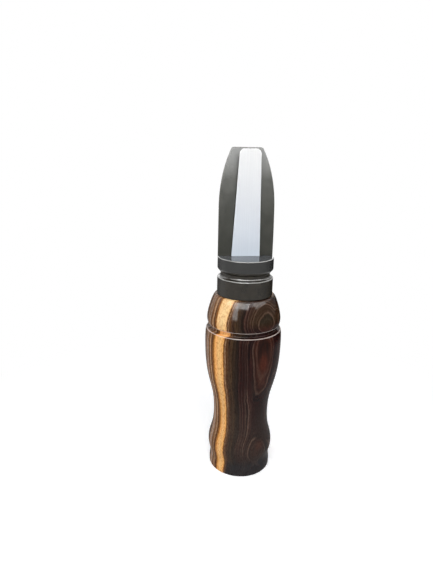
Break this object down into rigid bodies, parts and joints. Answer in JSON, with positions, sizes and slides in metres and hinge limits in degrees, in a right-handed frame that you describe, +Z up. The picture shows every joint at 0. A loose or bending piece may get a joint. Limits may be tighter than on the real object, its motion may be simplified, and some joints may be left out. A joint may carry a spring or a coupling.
{
  "type": "elk call",
  "caption": "Open-reed elk call: turned dark hardwood barrel with a lanyard groove, black push-in toneboard insert sealed by O-rings, and a white tapered reed held by a wedge.",
  "frame": {"origin": "centre of the barrel's foot, on the surface that the call stands on", "axes": "+Z up the turning axis from the bell to the tip of the toneboard; -Y is the way that the reed and the toneboard's flat face look; +X to the right of someone facing the reed"},
  "size_m": [0.0312, 0.0312, 0.1333],
  "materials": {
    "dark_hardwood": "high-gloss lacquer over dark brown and black figured heartwood with one golden sapwood stripe",
    "black_acetal": "satin turned and milled black plastic with polished edges",
    "black_keeper": "satin black plastic",
    "white_film": "semi-gloss white polyester film with bright cut edges",
    "black_rubber": "matt moulded rubber"
  },
  "bodies": {
    "barrel": {"barrel": "dark_hardwood"},
    "o_rings": {"upper_o_ring": "black_rubber", "lower_o_ring": "black_rubber"},
    "insert": {"toneboard": "black_acetal", "reed_wedge": "black_keeper"},
    "reed": {"reed": "white_film"}
  },
  "joints": [
    {"name": "insert_pull", "type": "slide", "parent": "barrel", "child": "o_rings", "axis": [0, 0, 1], "range_m": [0, 0.03]},
    {"name": "insert_turn", "type": "hinge", "parent": "o_rings", "child": "insert", "pos_m": [0, 0, 0.0769], "axis": [0, 0, 1], "continuous": true},
    {"name": "reed_flex", "type": "hinge", "parent": "insert", "child": "reed", "pos_m": [0, 0.0008, 0.08905], "axis": [1, 0, 0], "range_deg": [-1.4, 2.5], "stiffness_Nm_per_rad": 0.012}
  ]
}
